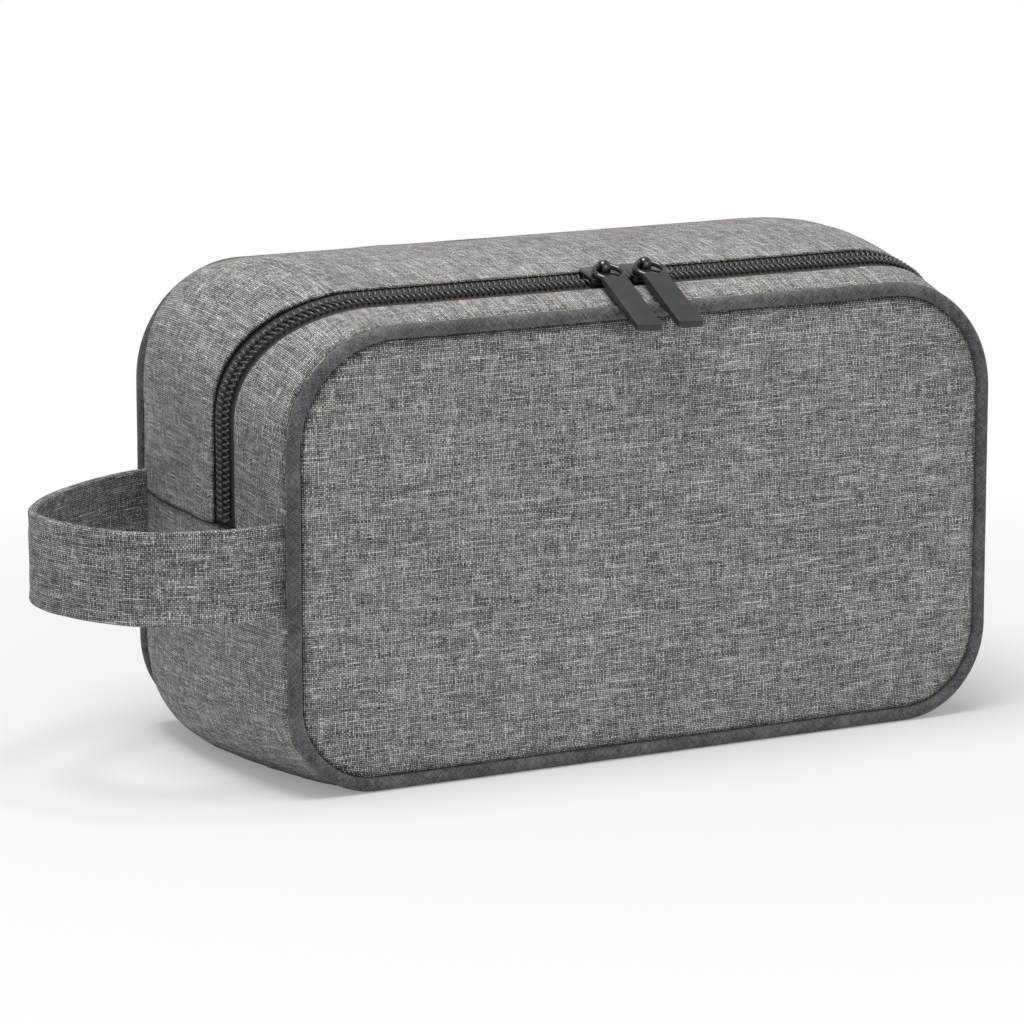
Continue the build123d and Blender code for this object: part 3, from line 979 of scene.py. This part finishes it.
class BAG_OT_sliders(bpy.types.Operator):
    """Makes the two sliders and the pulls that hang from them"""

    bl_idname = "toiletry_bag.sliders"
    bl_label = "Sliders and pulls"

    def execute(self, context):
        shape, zipper = settings()
        line = ZipLine(Outline())
        for number, side in enumerate(("left", "right")):
            node = "slider_" + side
            made = bmesh.new()
            made.from_mesh(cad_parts[node].data)
            bmesh.ops.remove_doubles(made, verts=made.verts, dist=0.000002)
            place = zipper.left_slider + number * zipper.slider_gap
            seat, across, out = line.at(line.length / 2 + place)
            bmesh.ops.bisect_plane(
                made,
                geom=made.verts[:] + made.edges[:] + made.faces[:],
                dist=0.000001,
                plane_co=seat + out * (zipper.plate_top + 0.00002),
                plane_no=out,
                clear_outer=True,
            )
            bmesh.ops.holes_fill(made, edges=[e for e in made.edges if e.is_boundary], sides=0)
            bmesh.ops.dissolve_limit(
                made, angle_limit=radians(3), verts=made.verts, edges=made.edges, delimit=set()
            )
            sharp = [e for e in made.edges if e.is_manifold and e.calc_face_angle(0) > radians(40)]
            bevel(made, sharp, 0.00018, 2, 0.5, clamp_overlap=True)
            body = piece(
                node + "_shell",
                made,
                finish_of(gloss_enamel),
                node + "_body",
                [node],
            )
            body.data.set_sharp_from_angle(angle=radians(35))

            # The arch: a flat band bent over the ring
            made = bmesh.new()
            bmesh.ops.create_circle(made, segments=14, radius=0.00045, cap_ends=True)
            bmesh.ops.scale(made, verts=made.verts, vec=(3.4, 1, 1))
            bmesh.ops.translate(made, verts=made.verts, vec=(0, -0.0021, 0))
            bmesh.ops.spin(
                made,
                geom=made.faces[:] + made.edges[:] + made.verts[:],
                cent=(0, 0, 0),
                axis=(-1, 0, 0),
                angle=pi,
                steps=20,
                use_merge=False,
                use_duplicate=False,
            )
            if sum(vert.co.z for vert in made.verts) < 0:
                bmesh.ops.scale(made, verts=made.verts, vec=(1, 1, -1))
            bmesh.ops.scale(made, verts=made.verts, vec=(1, 1, 1.38))
            foot = line.point(line.length / 2 + place, zipper.hinge_back, zipper.plate_top)
            lay(made, foot, Vector((1, 0, 0)), across, out)
            arch = piece(
                "slider_arch_" + side,
                made,
                finish_of(gloss_enamel),
                node + "_body",
                closed=True,
            )
            arch.data.set_sharp_from_angle(angle=radians(50))

            # The pull hangs from the slider's arch and rests over the front piping
            hinge = line.point(line.length / 2 + place, zipper.hinge_back, zipper.hinge_height)
            front_top = shape.piping + shape.front_height
            away = hypot(hinge.y + shape.depth / 2, hinge.z - front_top)
            below = atan2(hinge.z - front_top, hinge.y + shape.depth / 2)
            clear = shape.piping + zipper.tab / 2 + zipper.tab_rest
            rest = below - asin(clear / away)
            lean = zipper.tab_lean
            down = Vector((-sin(lean), -cos(lean) * cos(rest), -cos(lean) * sin(rest)))
            face = Vector((0, -sin(rest), cos(rest)))
            wide = down.cross(face)

            # Flat on its face first: x is its width, y runs down it, z stands off its face
            ring_middle = (zipper.ring - zipper.ring_core) / 2
            made = bmesh.new()
            bmesh.ops.create_circle(
                made, segments=12, radius=zipper.ring_wire / 2, cap_ends=False
            )
            bmesh.ops.rotate(made, verts=made.verts, matrix=quarter_turn, cent=(0, 0, 0))
            bmesh.ops.translate(made, verts=made.verts, vec=(0, -ring_middle, 0))
            bmesh.ops.spin(
                made,
                geom=made.edges,
                cent=(0, 0, 0),
                axis=(0, 0, 1),
                angle=2 * pi,
                steps=48,
                use_merge=True,
                use_duplicate=False,
            )
            bmesh.ops.translate(made, verts=made.verts, vec=(0, ring_middle, 0))
            lay(made, hinge, wide, down, face)
            piece(
                "pull_ring_" + side,
                made,
                finish_of(gloss_enamel),
                f"pull_{side}_body",
                closed=True,
            )

            tab_start = 2 * ring_middle - zipper.ring_core / 4
            made = bmesh.new()
            bmesh.ops.create_cube(made, size=1)
            bmesh.ops.scale(
                made, verts=made.verts, vec=(zipper.tab_width, zipper.tab_length, zipper.tab)
            )
            corners = [e for e in made.edges if abs(e.verts[0].co.z - e.verts[1].co.z) > 0.001]
            bevel(made, corners, 0.0009, 3, 0.5)
            rims = [e for e in made.edges if e.calc_face_angle(0) > radians(60)]
            bevel(made, rims, 0.00055, 2, 0.6)
            bmesh.ops.translate(
                made, verts=made.verts, vec=(0, tab_start + zipper.tab_length / 2, 0)
            )
            lay(made, hinge, wide, down, face)
            tab = piece(
                "pull_tab_" + side,
                made,
                finish_of(matte_enamel),
                f"pull_{side}_body",
                ["pull_" + side],
                closed=True,
            )
            tab.data.set_sharp_from_angle(angle=radians(25))
        return {"FINISHED"}


def lay(made, origin, wide, down, face):
    """Lays flat work out along three ways from an origin"""
    for vert in made.verts:
        x, y, z = vert.co
        vert.co = origin + wide * x + down * y + face * z


class BAG_OT_carry_loop(bpy.types.Operator):
    """Makes the carry loop on the left end"""

    bl_idname = "toiletry_bag.carry_loop"
    bl_label = "Carry loop"

    def execute(self, context):
        shape = context.scene.bag_shape
        thick = shape.strap_thickness
        path = smooth_route([Vector((x, y, 0)) for x, y in loop_route], 0.0016)

        lengths = [0.0]
        for here, there in zip(path, path[1:]):
            lengths.append(lengths[-1] + (there - here).length)

        # The section: two faces and two rounded folds; x across the thickness, y up
        faces, folds = 14, 6
        wide = shape.strap_width / 2
        radius = thick / 2
        section = [(radius, -wide + radius + (2 * wide - thick) * k / faces) for k in range(faces)]
        section += [
            (radius * cos(pi * k / folds), wide - radius + radius * sin(pi * k / folds))
            for k in range(folds)
        ]
        section += [(-radius, wide - radius - (2 * wide - thick) * k / faces) for k in range(faces)]
        section += [
            (-radius * cos(pi * k / folds), -wide + radius - radius * sin(pi * k / folds))
            for k in range(folds)
        ]
        around = [0.0]
        for (x, y), (past_x, past_y) in zip(section, section[1:] + section[:1]):
            around.append(around[-1] + hypot(past_x - x, past_y - y))

        def place(column, row):
            x, y = section[column % len(section)]
            ahead = path[min(row + 1, len(path) - 1)] - path[max(row - 1, 0)]
            out = ahead.normalized().cross(Vector((0, 0, 1)))
            along = lengths[row]
            edge = clamp((wide - abs(y)) / 0.003)
            puff = 0.00022 * (1 - edge) + 0.00018 * ripple(along, y, 0.010, 4.0)
            puff += 0.00025 * exp(-(((wide - abs(y)) - 0.0045) / 0.0012) ** 2) * -1
            x += (1 if x > 0 else -1) * puff * clamp(abs(x) / radius)
            wave = 0.0004 * ripple(along, 0.0, 0.03, 8.0)
            spot = path[row] + out * x + Vector((0, 0, shape.strap_height + y + wave))
            # Painted shade in the seam layer: the whole loop's colour is darkened by 0.12, and its inner
            # face, towards the bag, by 0.24
            return spot, (along, around[column]), 0.24 if x > 0 else 0.12

        made = grid(len(section), len(path) - 1, place)
        bmesh.ops.remove_doubles(made, verts=made.verts, dist=0.000001)
        bmesh.ops.holes_fill(made, edges=[e for e in made.edges if e.is_boundary], sides=0)
        piece(
            "carry_loop_cloth",
            made,
            finish_of(heather_cloth),
            "bag",
            ["handle_strap", "handle_core"],
            closed=True,
        )
        return {"FINISHED"}


# The carry loop's middle line, seen from above, from the front seam round to the back one
loop_route = (
    (-0.1225, -0.0508),
    (-0.1285, -0.0515),
    (-0.1440, -0.0527),
    (-0.1580, -0.0498),
    (-0.1702, -0.0432),
    (-0.1790, -0.0330),
    (-0.1845, -0.0205),
    (-0.1872, -0.0080),
    (-0.1862, 0.0030),
    (-0.1815, 0.0120),
    (-0.1742, 0.0212),
    (-0.1640, 0.0303),
    (-0.1520, 0.0388),
    (-0.1400, 0.0450),
    (-0.1285, 0.0490),
    (-0.1225, 0.0505),
)


def smooth_route(points, step):
    """Even steps along a smooth line through the points"""
    spline = bpy.data.curves.new("route", "CURVE")
    spline.dimensions = "3D"
    line = spline.splines.new("BEZIER")
    line.bezier_points.add(len(points) - 1)
    for knot, point in zip(line.bezier_points, points):
        knot.co = point
        knot.handle_left_type = knot.handle_right_type = "AUTO"
    spline.resolution_u = 12
    holder = bpy.data.objects.new("route", spline)
    bpy.context.scene.collection.objects.link(holder)
    bpy.context.view_layer.update()
    drawn = bpy.data.meshes.new_from_object(holder)
    fine = [vert.co.copy() for vert in drawn.vertices]
    bpy.data.objects.remove(holder)
    bpy.data.meshes.remove(drawn)
    bpy.data.curves.remove(spline)
    lengths = [0.0]
    for here, there in zip(fine, fine[1:]):
        lengths.append(lengths[-1] + (there - here).length)
    count = round(lengths[-1] / step)
    even, at = [], 0
    for k in range(count + 1):
        target = lengths[-1] * k / count
        while at < len(lengths) - 2 and lengths[at + 1] < target:
            at += 1
        share = (target - lengths[at]) / (lengths[at + 1] - lengths[at])
        even.append(fine[at].lerp(fine[at + 1], clamp(share)))
    return even


class BAG_OT_inner_layers(bpy.types.Operator):
    """Finishes the padding, lining, cords and bindings inside the bag"""

    bl_idname = "toiletry_bag.inner_layers"
    bl_label = "Inner layers"

    def execute(self, context):
        colours = context.scene.bag_colours
        foam = finish_of(cell_foam)
        filler = finish_of(twisted_filler)
        lining = inner_cloth("lining_cloth", colours.lining, 0.00035)
        binding = inner_cloth("binding_tape", colours.lining, 0.0006)
        for name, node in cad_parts.items():
            if name.endswith("_foam"):
                finish = foam
            elif name.endswith("_lining"):
                finish = lining
            elif name.endswith("_binding"):
                finish = binding
            elif name.endswith(("_cord", "_core")):
                finish = filler
            else:
                continue
            node.data.materials.clear()
            node.data.materials.append(finish)
        return {"FINISHED"}


class BAG_OT_stage(bpy.types.Operator):
    """Sets the pale floor, the soft lights and the camera"""

    bl_idname = "toiletry_bag.stage"
    bl_label = "Studio"

    def execute(self, context):
        scene = context.scene
        view = scene.bag_view
        made = bmesh.new()
        bmesh.ops.create_grid(made, x_segments=1, y_segments=1, size=6)
        mesh = bpy.data.meshes.new("studio_floor")
        made.to_mesh(mesh)
        made.free()
        floor = bpy.data.objects.new("studio_floor", mesh)
        scene.collection.objects.link(floor)

        paper = Finish(
            "studio_paper",
            {"Base Color": (0.8, 0.8, 0.8, 1), "Roughness": 1.0, "Specular IOR Level": 0.0},
        )
        glow = paper.node("ShaderNodeEmission", {}, {"Color": (1, 1, 1, 1), "Strength": 1.0})
        seen = paper.node("ShaderNodeLightPath", {}, {}, "Is Camera Ray")
        output = paper.tree.nodes["Material Output"]
        surface = Level(paper, paper.shader.outputs["BSDF"])
        x, y = paper.place("object")[:2]
        away = (x * x + y * y).math("SQRT").above(0.18, 0.25)
        mixed = paper.node("ShaderNodeMixShader", {}, {0: seen * (away * 0.75 + 0.25), 1: surface, 2: glow})
        paper.tree.links.new(mixed.socket, output.inputs["Surface"])
        mesh.materials.append(paper.material)

        world = bpy.data.worlds.new("studio")
        scene.world = world
        world.use_nodes = True
        tree = world.node_tree
        backdrop = tree.nodes["Background"]
        seen = tree.nodes.new("ShaderNodeLightPath")
        level = tree.nodes.new("ShaderNodeMix")
        tree.links.new(seen.outputs["Is Camera Ray"], level.inputs[0])
        level.inputs[2].default_value = view.ambient
        level.inputs[3].default_value = 1.0
        tree.links.new(level.outputs[0], backdrop.inputs["Strength"])
        backdrop.inputs["Color"].default_value = (1, 1, 1, 1)

        for name, place, width, watts in (
            ("top_softbox", (-0.20, -0.12, 1.40), 0.9, 16.0),
            ("front_softbox", (0.55, -1.6, 0.75), 0.9, 3.4),
        ):
            lamp = bpy.data.lights.new(name, "AREA")
            lamp.shape = "DISK"
            lamp.size = width
            lamp.energy = watts
            light = bpy.data.objects.new(name, lamp)
            light.location = place
            aim = Vector((0, 0, 0.07)) - Vector(place)
            light.rotation_euler = aim.to_track_quat("-Z", "Y").to_euler()
            scene.collection.objects.link(light)

        lens = bpy.data.cameras.new("photo_view")
        lens.lens = view.focal
        lens.sensor_width = 36.0
        lens.clip_end = 50.0
        camera = bpy.data.objects.new("photo_view", lens)
        low = cos(view.elevation)
        back = Vector((sin(view.azimuth) * low, -cos(view.azimuth) * low, sin(view.elevation)))
        camera.location = Vector(view.target) + back * view.distance
        camera.rotation_euler = (-back).to_track_quat("-Z", "Y").to_euler()
        scene.collection.objects.link(camera)
        scene.camera = camera
        scene.view_settings.view_transform = "Standard"
        return {"FINISHED"}


class BAG_PT_sidebar(bpy.types.Panel):
    """Lists the pieces of the bag in the sidebar"""

    bl_idname = "BAG_PT_sidebar"
    bl_label = "Toiletry bag"
    bl_space_type = "VIEW_3D"
    bl_region_type = "UI"
    bl_category = "Bag"

    def draw(self, context):
        for group in ("bag_shape", "bag_zip", "bag_colours", "bag_view"):
            box = self.layout.box()
            holder = getattr(context.scene, group)
            for setting in holder.bl_rna.properties:
                if setting.identifier not in ("rna_type", "name"):
                    box.prop(holder, setting.identifier)
        for operator in operators:
            self.layout.operator(operator.bl_idname)


operators = (
    BAG_OT_stage,
    BAG_OT_panels,
    BAG_OT_gusset,
    BAG_OT_piping,
    BAG_OT_zip,
    BAG_OT_sliders,
    BAG_OT_carry_loop,
    BAG_OT_inner_layers,
)
groups = {
    "bag_shape": BagShape,
    "bag_zip": ZipShape,
    "bag_colours": BagColours,
    "bag_view": BagView,
}


def register():
    for made in (*groups.values(), *operators, BAG_PT_sidebar):
        bpy.utils.register_class(made)
    for name, group in groups.items():
        setattr(bpy.types.Scene, name, bpy.props.PointerProperty(type=group))


def unregister():
    for name in groups:
        delattr(bpy.types.Scene, name)
    for made in (BAG_PT_sidebar, *reversed(operators), *reversed(groups.values())):
        bpy.utils.unregister_class(made)


def main():
    """Makes the whole bag and its studio"""
    register()
    for operator in operators:
        group, name = operator.bl_idname.split(".")
        getattr(getattr(bpy.ops, group), name)()


if __name__ == "__main__":
    main()
